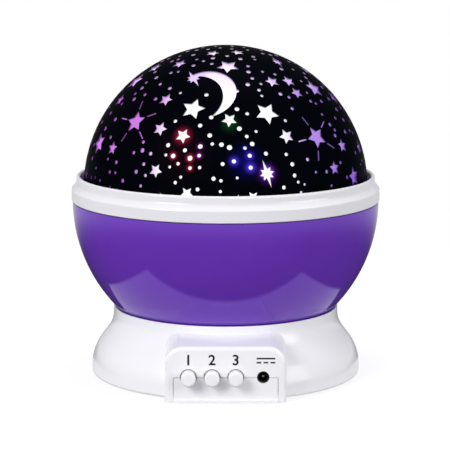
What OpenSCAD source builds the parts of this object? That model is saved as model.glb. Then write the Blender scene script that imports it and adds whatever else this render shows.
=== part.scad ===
// Rotating star lamp: a violet ball with a pierced black dome turns on a white base.
// Millimetres, +Z up, origin on the floor below the ball's axis, front towards -Y.

/* [Ball] */
// Radius of the ball's outer sphere, at the bowl
ball_r = 62.1; // [61:0.1:63]
// Radius of the bowl's flat floor, where the ball is cut off
floor_r = 39.28; // [38:0.02:40]
// Wall of the bowl
bowl_wall = 2; // [1.6:0.1:2.4]
// Radius of the dome's outer face, less than the ball's by this much
dome_step = 4.5; // [4.4:0.1:5]
// Height of the dome's centre above the bowl's centre
dome_lift = 5; // [4.8:0.1:5.4]
// Wall of the clear dome
dome_wall = 1.4; // [1:0.1:1.8]
// Thickness of the black star mask
mask_t = 0.5; // [0.4:0.1:0.8]
// Height of the flange at the dome's foot
dome_foot_h = 1.2; // [1:0.1:1.4]

/* [Ring] */
// How far the ring stands proud of the bowl
ring_proud = 0.35; // [0.2:0.05:0.6]
// Open seam between the bowl's edge and the ring
ring_seam = 0.3; // [0.2:0.05:0.5]
// Height of the whole ring
ring_h = 10.1; // [9.8:0.1:11]
// Height of the ring's upright band
band_h = 4.7; // [4.5:0.1:5]
// How far the collar is set in from the band
collar_in = 2; // [1.8:0.1:2.2]
// Height of the sloping shoulder between band and collar
shoulder_h = 2.2; // [2:0.1:2.4]
// Thickness of the collar
collar_t = 1.6; // [1.4:0.1:1.8]
// Radius of the hollow where the shoulder meets the collar
collar_fillet = 1.5; // [1:0.1:2]
// Rounding of the ring's lower and upper edges
ring_round = 0.45; // [0.3:0.05:0.6]

/* [Base] */
// Greatest radius of the base
base_r = 54.8; // [54.5:0.1:56]
// Radius of the neck under the ball
neck_r = 45.75; // [45.5:0.05:46.2]
// Radius of the bulge near the floor
bulge_r = 19.2; // [18.8:0.1:19.6]
// Height of the bulge's widest ring
bulge_z = 2.9; // [2.5:0.1:3.3]
// Length of the straight flank between the bulge and the hollow curve under the neck
flank_l = 4.8; // [3:0.1:6]
// Height of the hollow curve's centre
cove_z = 25.43; // [25:0.01:26]
// Wall of the base
base_wall = 2.2; // [2:0.1:2.3]
// Height of the underside of the deck
deck_z = 16.5; // [16.4:0.1:17]
// Thickness of the deck
deck_t = 2; // [1.6:0.1:2.4]

/* [Panel] */
// Width of the control panel
panel_w = 47; // [46.6:0.1:48]
// How far the panel's face stands out from the base's greatest radius
panel_out = 1.7; // [1.4:0.1:2.2]
// Height of the panel's top edge
panel_top = 22.5; // [22.3:0.1:23]
// Radius of the panel's upper corners
panel_corner = 7; // [6:0.5:8]
// Rounding round the panel's face
panel_edge = 1.6; // [1.2:0.1:2]
// Wall of the panel
panel_wall = 2; // [1.8:0.1:2.2]
// How far below the neck's top the panel's roof ends
roof_drop = 1.43; // [1:0.01:2]
// Width of the lower cover's tab in the panel
tab_w = 40.3; // [39.8:0.1:40.6]
// Height of the tab's upper edge
tab_top = 10.1; // [10:0.1:10.6]
// Open seam round the tab
tab_seam = 0.2; // [0.15:0.05:0.3]
// Height of the lip along the tab's foot
lip_h = 1; // [0.8:0.1:1.2]
// How far the lip stands out
lip_out = 0.8; // [0.5:0.1:1]

/* [Buttons] */
// Diameter of a button
button_d = 5.8; // [5.4:0.1:6]
// Distance between the buttons
button_pitch = 9.15; // [9:0.05:9.4]
// Place of the first button along X
button_x = -14.4; // [-14.6:0.1:-14]
// Height of the row of buttons
button_z = 10.4; // [10.3:0.1:10.8]
// How far a button stands out of the panel
button_out = 4.5; // [4:0.1:5]
// Travel of a button
button_travel = 1.2; // [0.8:0.1:1.3]
// Gap round a button
button_gap = 0.35; // [0.25:0.05:0.45]
// Width of a switch
switch_w = 5.8; // [5.4:0.1:6.2]
// Width of the square stem of a switch
stem_w = 2; // [1.8:0.1:2.2]

/* [Power socket] */
// Place of the socket along X
jack_x = 14.5; // [14.2:0.1:14.8]
// Diameter of the socket's nose
jack_d = 4.5; // [4.3:0.1:4.7]
// Bore of the socket
jack_bore = 3.7; // [3.6:0.05:3.8]
// Diameter of the socket's centre pin
jack_pin_d = 1.3; // [1.2:0.05:1.35]

/* [Drive] */
// Room between the pinion's teeth and the wall of the well
gear_room = 1.95; // [1.5:0.05:2.5]
// Teeth of the ball's gear
gear_n = 72; // [72:12:72]
// Teeth of the motor's pinion
pinion_n = 15; // [15:1:15]
// Thickness of the gears
gear_t = 3; // [2.6:0.1:3.2]
// Play between the teeth
backlash = 0.12; // [0.08:0.01:0.2]
// Radius of the motor's can
motor_r = 12; // [11.5:0.1:12.5]
// Height of the motor's can
motor_h = 11; // [10:0.1:11.5]
// How far the shaft lies off the can's middle
shaft_off = 7; // [6.5:0.1:7.5]
// Radius of the motor's shaft
shaft_r = 2; // [1.8:0.1:2.2]

/* [Lamp post] */
// Radius of the post, on which the ball turns
post_r = 6; // [5.6:0.1:6.4]
// Bore of the post, for the wires
post_bore = 8; // [7:0.1:8.5]
// Radius of the post's flange
flange_r = 14.5; // [14:0.1:15]
// Thickness of the flange
flange_t = 2; // [1.8:0.1:2.4]
// Thickness of the thrust washer
washer_t = 0.8; // [0.6:0.1:1]
// Height of the ball's hub
hub_h = 8.6; // [8:0.1:10]
// Height of the light board's underside below the dome's centre
board_drop = 10; // [9.5:0.1:11]
// Radius of the light board
board_r = 11; // [10:0.1:11.4]
// Thickness of both circuit boards
board_t = 1.6; // [1.4:0.1:1.8]
// Diameter of a light
led_d = 5; // [4.8:0.1:5.2]
// Distance of the lights from the axis
led_ring = 5.5; // [5:0.1:6]

/* [Batteries] */
// Diameter of a cell
cell_d = 10.5; // [10.2:0.1:10.6]
// Length of a cell with its nub
cell_l = 44.5; // [44:0.1:44.6]
// Distance between the cells' axes
cell_pitch = 11; // [10.8:0.1:11]
// Length of a contact spring
spring_l = 5.1; // [5:0.1:5.4]
// How far the corners of the battery door stay inside the base's greatest radius
door_in = 7.375; // [7:0.005:9]
// Wall of the battery bay
bay_wall = 1.2; // [1:0.1:1.3]

/* [Lower cover] */
// Thickness of the lower cover
cover_t = 2; // [1.8:0.1:2.2]
// Thickness of the battery door
door_t = 1.2; // [1:0.1:1.3]
// Radius of a rubber foot
foot_r = 4.5; // [4:0.1:4.8]
// How far the feet hold the base off the floor
foot_out = 0.5; // [0.4:0.1:0.8]
// Radius of the door's hinge bars
hinge_r = 0.5; // [0.45:0.05:0.6]

/* [Fits] */
// Gap of turning and sliding pieces, on the radius
run_fit = 0.05; // [0.03:0.01:0.08]
// Gap of pieces that are fixed in each other, on the radius
seat_fit = 0.05; // [0.03:0.01:0.08]
// Gap of loose covers and lids
loose_fit = 0.3; // [0.2:0.05:0.35]
// Gap between the turning ball and the neck
ball_gap = 0.4; // [0.3:0.05:0.5]

/* [Hidden] */
$fa = 4;
$fs = 0.4;
far = 200;
// How far a cut runs past what it cuts, and a post into what carries it
past = 1;
bury = 0.5;

// Heights, from the floor up
foot_t = foot_out + 1.2;
foot_edge = 0.4;
cover_z = foot_out + 0.3;
cover_top = cover_z + cover_t;
boss_top = cover_top + 1.5;
deck_top = deck_z + deck_t;
flange_top = deck_top + flange_t;
hub_z = flange_top + washer_t + run_fit;
hub_drop = 1.65;
bowl_floor_z = hub_z + hub_drop;
hub_top = hub_z + hub_h;
// Depth of the bowl's floor below the ball's centre, to a tenth of a millimetre
ball_drop = round(10 * sqrt(pow(ball_r, 2) - pow(floor_r, 2))) / 10;
ball_z = bowl_floor_z + ball_drop;
dome_z = ball_z + dome_lift;
ring_z = ball_z + ring_seam;
light_z = dome_z - board_drop;

// The ball's sizes
dome_r = ball_r - dome_step;
mask_gap = 0.03;
mask_lift = 0.1;
clear_r = dome_r - mask_t - mask_gap;
hub_r = 9;
rib_t = 1.2;
rib_l = 22;
rib_h = 4;
rim_root = 5;
rim_in_r = dome_r - dome_wall - 0.6;
ring_r = ball_r + ring_proud;
collar_r = ring_r - collar_in;
rim_r = collar_r - 0.15;
band_top = ring_z + band_h;
ledge_z = band_top - 0.95;
rim_top = ledge_z - dome_foot_h;
shelf_z = ball_z - 0.6;
reflector_t = 1.2;
reflector_gap = 2;
reflector_r = rim_in_r + 1.1;

// The base's outline: a hollow curve and a bulge, joined by their common tangent, the flank
rim_flat = 0.55;
neck_top = ball_z - sqrt(pow(ball_r + ball_gap, 2) - pow(neck_r - rim_flat, 2));
bulge_at = [base_r - bulge_r, bulge_z];
neck_out = neck_r - bulge_at[0];
cove_up = cove_z - bulge_z;
cove_r = (pow(neck_out, 2) + pow(cove_up, 2) - pow(bulge_r, 2) - pow(flank_l, 2))
  / (2 * (bulge_r - neck_out));
cove_at = [neck_r + cove_r, cove_z];
// The straight flank overlaps both curves by this much
overlap = 0.02;
span = bulge_at - cove_at;
tilt = atan2(span[1], span[0]) - acos((cove_r + bulge_r) / norm(span)) + 360;
along = [cos(tilt), sin(tilt)];
// Rounding of the hem
hem_r = 1.2;
hem_x = bulge_at[0] + sqrt(pow(bulge_r, 2) - pow(bulge_z - foot_out - hem_r, 2)) - hem_r;
cover_r = bulge_at[0] + sqrt(pow(bulge_r - base_wall, 2) - pow(bulge_z - foot_out, 2)) - loose_fit;

// The panel and what is behind it
panel_y = base_r + panel_out;
board_depth = 10.9;
board_y = -panel_y + board_depth;
board_back = board_y + board_t;
board_play = 0.1;
board_side = panel_w / 2 - panel_wall - 0.6;
rail_w = 1.8;
rail_t = 1;
board_foot = cover_top + 0.3;
board_head = deck_z - 0.3;
panel_in = -panel_y + panel_wall;
switch_y = panel_in + 2.7;
switch_hole = 2.2;
stem_out = 3.2;
stem_in = 0.7;
cap_r = button_d / 2;
hole_r = cap_r + button_gap;
cap_flange_r = hole_r + 0.6;
jack_hole_r = jack_d / 2 + 0.15;
jack_box_w = 7.2;
jack_box_h = 6.8;
jack_back = board_y - 2;
// The panel's box reaches into the base to its root, and the room behind it a little less
panel_sink = 9.75;
panel_root = neck_r - panel_sink;
room_end = panel_root + 2;
roof_end = neck_top - roof_drop;
chip_x = jack_x - 6.5;
capacitor_x = -board_side + 3.9;
loft_in = 3;
loft_d = 5.6;

// The battery bay and its door
plate_t = 0.4;
plate_w = 8;
plate_x = (cell_l + spring_l) / 2;
bay_x = plate_x + plate_t;
cell_play = 0.2;
wire_room = 1.3;
bay_roof = deck_z - wire_room - bay_wall;
cell_z = bay_roof - cell_play - cell_d / 2;
bay_len = 3 * cell_pitch + cell_d + 3 * cell_play;
door_x = bay_x + bay_wall + 0.8;
door_rim = 1.6;
// The bay lies as far forward as the door's corners and the circuit board's parts let it
part_room = 5.5;
door_reach = sqrt(pow(base_r - door_in, 2) - pow(door_x, 2));
bay_front = -min(door_reach - door_rim, -board_back - part_room - bay_wall);
bay_back = bay_front + bay_len;
bay_y = (bay_front + bay_back) / 2;
door_front = bay_front - door_rim;
door_back = bay_back + 1.15;
door_lug = 4.2;
lug_w = 8;
door_screw_y = door_front - door_lug / 2;
hinge_y = bay_back + bay_wall + 1.65;
hinge_z = cover_z + door_t;
hook_r = hinge_r + run_fit + 0.65;
hook_x = 14;
hook_w = 5;
window_w = hook_w + 1;

// Screws: shank and head
screw_r = 1.3;
screw_head_r = 2.4;
screw_head_h = 1.5;
small_screw_r = 1;
small_head_r = 1.8;
small_head_h = 1.2;
sunk_head_h = 1;
screw_free = 0.1;
cover_post_r = 3.2;
cover_pilot = 7;
cover_boss_r = 4;
door_boss_r = 2.6;
door_boss_h = 6;
recess_top = hinge_z + 0.1;
motor_pilot = 3.2;
cover_screw_in = 2.5;
cover_screw_at = [for (a = [-28, 208, 37, 143]) (neck_r - cover_screw_in) * [cos(a), sin(a)]];
foot_in = 6.1;
foot_at = [for (a = [-42.4, 222.4, 56.7, 123.3]) (cover_r - foot_in) * [cos(a), sin(a)]];

// The drive: the gears fill the well
gear_m = (neck_r - base_wall - gear_room) / (gear_n / 2 + pinion_n + 1);
gear_r = gear_m * gear_n / 2;
pinion_r = gear_m * pinion_n / 2;
motor_at = gear_r + pinion_r;
motor_top = deck_z - 1.5;
ear_out = 4.5;
ear_x = motor_r + ear_out;
ear_r = 2.8;
ear_t = 0.8;
motor_boss_h = 1.2;
shaft_in = 3.8;
gear_gap = 0.5;
pinion_z = bowl_floor_z - gear_gap - gear_t;
pinion_hub_h = 0.7;
pinion_fit = 0.02;
gear_in_r = flange_r + 1.5;
gear_screw_angles = [30, 150, 270];
gear_head_z = 0.2;
gear_boss_r = 2.6;
gear_boss_h = 5;
gear_pilot = 4;
post_screw_angles = [90, 210, 330];
post_screw_in = 2.5;
post_screw_r = flange_r - post_screw_in;
post_boss_r = 2.4;
post_boss_h = 1.1;
clip_z = hub_top + 0.2;
clip_t = 0.8;
clip_mouth = 4.4;
groove_d = 0.9;
sleeve_r = post_r - 0.8;
wire_bore_r = post_bore / 2 - 0.2;
holder_t = 1.6;
holder_h = 9;
cone_h = 2.5;
socket_r = post_r + 1;
holder_screw_r = board_r - 2.4;
gear_screw_r = (gear_in_r + gear_r - 1.25 * gear_m) / 2;

// The mask's windows, in degrees seen from the dome's centre
// Stars: azimuth from the front, height angle, width, turn
stars = [
  [-20, 75, 5.6, -6], [20, 76, 5.5, 0], [-46, 64, 5.9, 0], [-72, 59, 6.3, 30],
  [2, 63.5, 9, 30], [-75, 50, 8.9, 14], [-72, 40, 5.5, 15], [-33.6, 43.3, 5.9, -13],
  [-16.4, 39.7, 9.6, -11], [20.4, 37.6, 9.8, 37], [31.4, 53, 6, 8], [44.5, 52.5, 5.9, 0],
  [62.7, 47, 9, -16], [44, 46, 5.6, 12], [79, 40.5, 6.5, 20], [85, 56, 6.3, 30],
  [-30.5, 30.3, 6, -15], [-18.8, 28, 6.2, -24], [1.7, 35, 6.2, 30], [27.2, 27.4, 6.2, 20],
  [58.3, 21, 5.7, -4], [-68.3, 20.8, 8.9, 25], [-55, 20.3, 5.7, 3], [-28.7, 13.8, 5.6, -26],
  [-15, 5.7, 5.4, 36], [10.5, 4.4, 5, 34], [49, 13, 5.6, 0], [62.5, 8, 8.2, 5], [-77, 7, 4.2, 0],
  [76.5, 18, 5.6, 0], [-52, 4, 4.2, 0]
];
// Stars with five loose rays round them, in the same way
ray_stars = [[-46, 32.3, 9.3, 12], [43, 26, 9.3, 22]];
// Bursts with eight points, two of them long
bursts = [[57, 65, 9, -24], [16.4, 13.3, 11.2, 15], [-23.4, 2.5, 8.4, 40], [3.4, 1.4, 9.5, -20]];
// The crescent: azimuth, height angle, radius, and the lean of its opening, and the burst at its tip
crescent = [-11.7, 47.9, 11.9, 33];
crescent_shift = 0.47;
crescent_burst = [-22.4, 55.3, 10.8, 40];
// Notches and short points, as shares of a long point
star_notch = 0.5;
burst_notch = 0.31;
burst_short = 0.52;
// The loose rays: width, length, and where they start, as a share of their star's width
ray_w = 0.5;
ray_l = 3.9;
ray_from = 0.6;
cut_depth = 3;
// Dots placed one by one, round the coloured lights and the crescent: azimuth, height angle, width
placed_dots = [
  [-10.8, 46.5, 1.7], [-26.5, 47, 1.2], [6.6, 48.5, 1.5], [-6.8, 36.1, 1.7], [-11.6, 32.5, 1.7],
  [-6.9, 28.5, 1.8], [6.1, 31.3, 1.9], [-24.8, 24, 1.7], [-21.8, 19.9, 1.8], [-25.1, 20.1, 1.2],
  [-19.3, 17, 1.3], [-14.5, 19.3, 1.9], [-14.2, 15.5, 1.4], [-10.6, 24, 1.8], [-10.8, 20.4, 1.4],
  [-10.3, 15.8, 1.3], [-1.2, 17.3, 1.5], [3.3, 18.3, 1.6], [9.9, 15.8, 1.6], [9.8, 20.4, 1.6],
  [8, 23.4, 1.3], [11.2, 25, 1.8], [1.6, 23.7, 2]
];
// The other dots, on a spiral: how many are tried, and how far they stay from the stars, from the
// placed dots' middles and from each other
dot_n = 720;
dot_gap = 1.4;
placed_room = 1.7;
dot_pitch = 2.5;
// Their widths in turn, the share of it that they have at the dome's foot, and how far up it is full
dot_d = [1.2, 1.6, 1.35, 1.8, 1.45];
foot_share = 0.72;
full_from = 20;

// The base's outline, moved in by t, from height low upwards
module base_outline(t, low) {
  hollow = cove_at + (cove_r + t) * along;
  swell = bulge_at - (bulge_r - t) * along;
  difference() {
    union() {
      polygon([
        [0, low], [bulge_at[0], low], swell + overlap * along, hollow + overlap * along,
        [neck_r - t, cove_at[1]], [neck_r - t, far], [0, far]
      ]);
      intersection() {
        translate(bulge_at) circle(r = bulge_r - t);
        translate([0, low]) square(far);
      }
    }
    translate(cove_at) circle(r = cove_r + t);
  }
}

// A post of round section that stands on z
module post(at, z, h, r) {
  translate([at[0], at[1], z]) cylinder(r = r, h = h);
}

// The panel's box, with a rounded edge round its face
module panel_box() {
  half = panel_w / 2;
  arc_x = half - panel_corner;
  color("white")
    hull() {
      for (s = [-1, 1]) {
        translate([s * arc_x, -panel_y + panel_edge, panel_top - panel_corner])
          rotate([90, 0, 0])
            rotate_extrude($fn = 32)
              translate([panel_corner - panel_edge, 0]) circle(r = panel_edge, $fn = 16);
        translate([s * (half - panel_edge), -panel_y + panel_edge, foot_out])
          cylinder(r = panel_edge, h = 1, $fn = 32);
        translate([s * arc_x, -panel_root, roof_end - panel_corner])
          rotate([90, 0, 0]) cylinder(r = panel_corner, h = 1, $fn = 32);
        translate([s * (half - 0.5), -panel_root - 0.5, foot_out + 0.5]) cube(1, center = true);
      }
    }
}

// Holes in the panel for the buttons and the socket
module panel_holes() {
  for (i = [0:2])
    translate([button_x + i * button_pitch, panel_in + past, button_z])
      rotate([90, 0, 0]) cylinder(r = hole_r, h = panel_wall + 3 * past);
  translate([jack_x, panel_in + past, button_z])
    rotate([90, 0, 0]) cylinder(r = jack_hole_r, h = panel_wall + 3 * past);
}

module base_shell() {
  color("white")
    difference() {
      union() {
        difference() {
          union() {
            intersection() {
              rotate_extrude() {
                difference() {
                  base_outline(0, foot_out);
                  translate([hem_x, foot_out - past]) square([far, hem_r + past]);
                }
                translate([hem_x, foot_out + hem_r]) circle(r = hem_r);
              }
              cylinder(r = far, h = neck_top);
            }
            panel_box();
          }
          // Room under the deck
          intersection() {
            rotate_extrude() base_outline(base_wall, -past);
            translate([0, 0, -past]) cylinder(r = far, h = deck_z + past);
          }
          // Room behind the panel, and its higher part between the rounded corners
          translate([-panel_w / 2 + panel_wall, panel_in, -past])
            cube([panel_w - 2 * panel_wall, -panel_in - room_end, deck_z + past]);
          translate([-panel_w / 2 + panel_wall + loft_in, panel_in, -past])
            cube([panel_w - 2 * (panel_wall + loft_in), loft_d, panel_top - panel_wall + past]);
          // The well above the deck, and the seat of the turning ball
          translate([0, 0, deck_top]) cylinder(r = neck_r - base_wall, h = far);
          intersection() {
            translate([0, 0, ball_z]) sphere(r = ball_r + ball_gap, $fn = 180);
            translate([0, 0, deck_top]) cylinder(r = far, h = far);
          }
        }
        for (at = cover_screw_at) post(at, boss_top, deck_z - boss_top + bury, cover_post_r);
        // Posts for the motor's ears
        for (s = [-1, 1])
          post([s * ear_x, motor_at - shaft_off], motor_top, deck_z - motor_top + bury, ear_r);
        // Bosses under the deck for the lamp post's screws
        for (a = post_screw_angles)
          rotate(a) post([post_screw_r, 0], deck_z - post_boss_h, post_boss_h + bury, post_boss_r);
        // Rails for the circuit board
        for (s = [-1, 1])
          for (y = [board_y - board_play - rail_t, board_back + board_play])
            translate([s * board_side - rail_w / 2, y, board_foot + board_play])
              cube([rail_w, rail_t, deck_top - board_foot - bury]);
      }
      panel_holes();
      // The notch for the lower cover's tab
      translate([-tab_w / 2 - tab_seam, -panel_y - past, -past])
        cube([tab_w + 2 * tab_seam, panel_wall + tab_seam + past, tab_top + tab_seam + past]);
      // Pilot holes
      for (at = cover_screw_at) post(at, boss_top - past, cover_pilot + past, screw_r + seat_fit);
      for (s = [-1, 1])
        post([s * ear_x, motor_at - shaft_off], motor_top - past,
          motor_pilot + past, small_screw_r + seat_fit);
      for (a = post_screw_angles)
        rotate(a)
          post([post_screw_r, 0], deck_z - post_boss_h - past, far, small_screw_r + seat_fit);
      // Holes for the pinion's shaft and for the wires
      post([0, motor_at], deck_z - past, deck_t + 2 * past, shaft_r + 1.8);
      post([0, 0], deck_z - past, deck_t + 2 * past, post_bore / 2);
    }
}

// The bars that the door's hooks hold on to lie across two windows
module hinge_windows() {
  for (s = [-1, 1])
    translate([s * hook_x - window_w / 2, hinge_y - hook_r - 0.9, -past])
      cube([window_w, 2 * hook_r + 1.5, cover_top + 2 * past]);
}

module lower_cover() {
  color("white")
    union() {
      difference() {
        union() {
          translate([0, 0, cover_z])
            cylinder(r = cover_r, h = cover_t);
          translate([-tab_w / 2, -panel_y, cover_z]) cube([tab_w, panel_y - room_end, cover_t]);
          translate([-tab_w / 2, -panel_y, foot_out]) cube([tab_w, panel_wall, tab_top - foot_out]);
          translate([-tab_w / 2, -panel_y - lip_out, foot_out - 0.1])
            cube([tab_w, lip_out + panel_wall, lip_h]);
          // The battery bay, clear of the shell
          intersection() {
            translate([-bay_x - bay_wall, bay_front - bay_wall, cover_z])
              cube([2 * (bay_x + bay_wall), bay_len + 2 * bay_wall, bay_roof + bay_wall - cover_z]);
            rotate_extrude() base_outline(base_wall + loose_fit, foot_out);
          }
          for (at = cover_screw_at) post(at, cover_z, boss_top - cover_z, cover_boss_r);
          // Boss for the door's screw
          post([0, door_screw_y], cover_z, door_boss_h, door_boss_r);
        }
        translate([-bay_x, bay_front, -past]) cube([2 * bay_x, bay_len, bay_roof + past]);
        // The recess for the door and its lug
        translate([-door_x - loose_fit, door_front - loose_fit, -past])
          cube([2 * (door_x + loose_fit), door_back - door_front + 3 * loose_fit, recess_top + past]);
        translate([-lug_w / 2 - loose_fit, door_front - door_lug - loose_fit, -past])
          cube([lug_w + 2 * loose_fit, door_lug + loose_fit + past, recess_top + past]);
        post([0, door_screw_y], -past, far, small_screw_r + loose_fit);
        for (at = cover_screw_at) {
          post(at, -past, cover_z + screw_head_h + screw_free + past, screw_head_r + loose_fit);
          post(at, -past, far, screw_r + screw_free);
        }
        for (at = foot_at) post(at, -past, foot_t + past, foot_r + seat_fit);
        hinge_windows();
        // Room for the buttons and the socket in the tab
        panel_holes();
      }
      for (s = [-1, 1])
        translate([s * hook_x, hinge_y, hinge_z])
          rotate([0, 90, 0]) cylinder(r = hinge_r, h = window_w + 2 * bury, center = true);
    }
}

module battery_door() {
  color("white")
    difference() {
      union() {
        translate([-door_x, door_front, cover_z])
          cube([2 * door_x, door_back - door_front, door_t]);
        translate([-lug_w / 2, door_front - door_lug, cover_z]) cube([lug_w, door_lug + past, door_t]);
        // Ribs that hold the cells up
        for (s = [-1, 1])
          translate([s * cell_l / 4 - rib_t / 2, bay_front + loose_fit, cover_z])
            cube([rib_t, bay_len - 2 * loose_fit, cell_z - cell_d / 2 - cover_z]);
        // Hooks round the hinge bars
        for (s = [-1, 1]) {
          translate([s * hook_x, hinge_y, hinge_z])
            rotate([0, 90, 0]) cylinder(r = hook_r, h = hook_w, center = true);
          translate([s * hook_x - hook_w / 2, door_back - past, cover_z])
            cube([hook_w, hinge_y - door_back + past, door_t]);
        }
      }
      for (s = [-1, 1])
        translate([s * hook_x, hinge_y, hinge_z]) {
          rotate([0, 90, 0]) cylinder(r = hinge_r + run_fit, h = window_w, center = true);
          // The hook's mouth
          translate([-window_w / 2, 0, -hinge_r * 0.8]) cube([window_w, far, far]);
        }
      translate([0, door_screw_y, cover_z])
        cylinder(r1 = small_head_r + seat_fit, r2 = small_screw_r + seat_fit, h = sunk_head_h);
      post([0, door_screw_y], cover_z, door_t + past, small_screw_r + seat_fit);
    }
}

module door_screw() {
  color("silver")
    translate([0, door_screw_y, cover_z + seat_fit]) {
      cylinder(r1 = small_head_r, r2 = small_screw_r, h = sunk_head_h - seat_fit);
      cylinder(r = small_screw_r, h = door_boss_h - bury);
    }
}

module cover_screws() {
  color("silver")
    for (at = cover_screw_at)
      translate([at[0], at[1], cover_z + screw_free]) {
        cylinder(r = screw_head_r, h = screw_head_h);
        cylinder(r = screw_r, h = boss_top - cover_z + cover_pilot - past);
      }
}

module foot(i) {
  at = foot_at[i - 1];
  color("gainsboro")
    translate([at[0], at[1], 0]) {
      cylinder(r1 = foot_r - foot_edge, r2 = foot_r, h = foot_edge);
      translate([0, 0, foot_edge]) cylinder(r = foot_r, h = foot_t - foot_edge);
    }
}

// Cells lie in turn to the right and to the left
module cell(i) {
  nub = 1;
  nub_r = 1.9;
  turn = (i % 2 == 1) ? 0 : 180;
  translate([0, bay_y + (i - 2.5) * cell_pitch, cell_z])
    rotate(turn)
      translate([plate_x - cell_l, 0, 0])
        rotate([0, 90, 0]) {
          color("dimgray") cylinder(r = cell_d / 2, h = cell_l - nub);
          color("silver") cylinder(r = nub_r, h = cell_l);
        }
}

// Flat plates at the cells' plus ends
module contact_plates() {
  color("silver")
    for (i = [1:4])
      translate([0, bay_y + (i - 2.5) * cell_pitch, cell_z])
        rotate((i % 2 == 1) ? 0 : 180)
          translate([plate_x, -plate_w / 2, -plate_w / 2]) cube([plate_t, plate_w, plate_w]);
}

// A tube swept along points, with rings of n sides
function unit(v) = v / norm(v);
function heading(p, i) = unit(p[min(i + 1, len(p) - 1)] - p[max(i - 1, 0)]);
function across(h, up) = unit(cross(h, up));
module tube(p, r, n, up) {
  rings = [for (i = [0:len(p) - 1])
    let (h = heading(p, i), a = across(h, up), b = cross(a, h))
      for (k = [0:n - 1]) p[i] + r * (cos(k * 360 / n) * a + sin(k * 360 / n) * b)];
  m = len(p);
  sides = [for (i = [0:m - 2]) for (k = [0:n - 1]) for (f = [
    [i * n + k, i * n + (k + 1) % n, (i + 1) * n + k],
    [i * n + (k + 1) % n, (i + 1) * n + (k + 1) % n, (i + 1) * n + k]
  ]) f];
  foot_cap = [for (k = [1:n - 2]) [0, k + 1, k]];
  head_cap = [for (k = [1:n - 2]) [(m - 1) * n, (m - 1) * n + k, (m - 1) * n + k + 1]];
  polyhedron(points = rings, faces = concat(sides, foot_cap, head_cap));
}

// A coil that narrows from its plate to the cell, sunk a little into the plate
spring_wire = 0.7;
spring_turns = 4;
spring_steps = 10;
spring_wide = 3.6;
spring_narrow = 2.2;
spring_sunk = 0.15;
spring_from = spring_wire / 2 - spring_sunk;
spring_to = spring_l - spring_wire / 2;
function spring_point(k) =
  let (s = k / (spring_turns * spring_steps), r = spring_wide + (spring_narrow - spring_wide) * s)
    [spring_from + s * (spring_to - spring_from), r * cos(s * 360 * spring_turns),
     r * sin(s * 360 * spring_turns)];
// The least gap between the wire's turns, measured on its points
spring_path = [for (k = [0:spring_turns * spring_steps]) spring_point(k)];
spring_gap = min([for (i = [0:len(spring_path) - 1]) for (j = [i + 6:1:len(spring_path) - 1])
  norm(spring_path[i] - spring_path[j])]) - spring_wire;
echo(least_gap_of_the_spring_to_itself = spring_gap);

module contact_springs() {
  color("silver")
    for (i = [1:4])
      translate([0, bay_y + (i - 2.5) * cell_pitch, cell_z])
        rotate((i % 2 == 1) ? 0 : 180)
          translate([-plate_x, 0, 0]) {
            translate([-plate_t, -plate_w / 2, -plate_w / 2]) cube([plate_t, plate_w, plate_w]);
            tube(spring_path, spring_wire / 2, 6, [1, 0, 0]);
          }
}

module circuit_board() {
  color("darkgreen")
    translate([-board_side, board_y, board_foot])
      cube([2 * board_side, board_t, board_head - board_foot]);
}

function button_at(i) = [button_x + (i - 1) * button_pitch, 0, button_z];

module switch(i) {
  color("dimgray")
    translate(button_at(i))
      difference() {
        translate([-switch_w / 2, switch_y, -switch_w / 2])
          cube([switch_w, board_y - switch_y, switch_w]);
        translate([-stem_w / 2 - run_fit, switch_y - past, -stem_w / 2 - run_fit])
          cube([stem_w + 2 * run_fit, switch_hole + past, stem_w + 2 * run_fit]);
      }
}

module switch_stem(i) {
  color("ivory")
    translate(button_at(i))
      translate([-stem_w / 2, switch_y - stem_out, -stem_w / 2])
        cube([stem_w, stem_out + stem_in, stem_w]);
}

// A cap with a rounded face, a flange behind the panel and a square socket for the stem
module button(i) {
  face = panel_y + button_out;
  back = -switch_y + 0.3 + button_travel;
  flange_top = -panel_in - 0.25;
  round_r = 0.8;
  color("white")
    translate(button_at(i))
      rotate([90, 0, 0])
        difference() {
          union() {
            rotate_extrude() {
              translate([0, back]) square([cap_r, face - round_r - back]);
              translate([0, back]) square([cap_r - round_r, face - back]);
              translate([cap_r - round_r, face - round_r])
                intersection() {
                  circle(r = round_r);
                  square(round_r);
                }
            }
            translate([0, 0, back]) cylinder(r = cap_flange_r, h = flange_top - back);
          }
          translate([-stem_w / 2 - seat_fit, -stem_w / 2 - seat_fit, back - past])
            cube([stem_w + 2 * seat_fit, stem_w + 2 * seat_fit, -switch_y + stem_out + 0.1 - back + past]);
        }
}

module power_socket() {
  nose_y = -panel_y + 0.5;
  box_y = panel_in + 0.2;
  color("black")
    difference() {
      union() {
        translate([jack_x - jack_box_w / 2, box_y, button_z - jack_box_h / 2])
          cube([jack_box_w, board_y - box_y, jack_box_h]);
        translate([jack_x, box_y + past, button_z])
          rotate([90, 0, 0]) cylinder(r = jack_d / 2, h = box_y + past - nose_y);
      }
      translate([jack_x, jack_back, button_z])
        rotate([90, 0, 0]) cylinder(r = jack_bore / 2, h = far);
    }
}

// A round pin with a rounded tip
module socket_pin() {
  tip_y = -panel_y + 1.6;
  pin_l = jack_back - tip_y - jack_pin_d / 2;
  color("silver")
    translate([jack_x, jack_back, button_z])
      rotate([90, 0, 0]) {
        cylinder(r = jack_pin_d / 2, h = pin_l);
        translate([0, 0, pin_l]) sphere(r = jack_pin_d / 2);
      }
}

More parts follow.
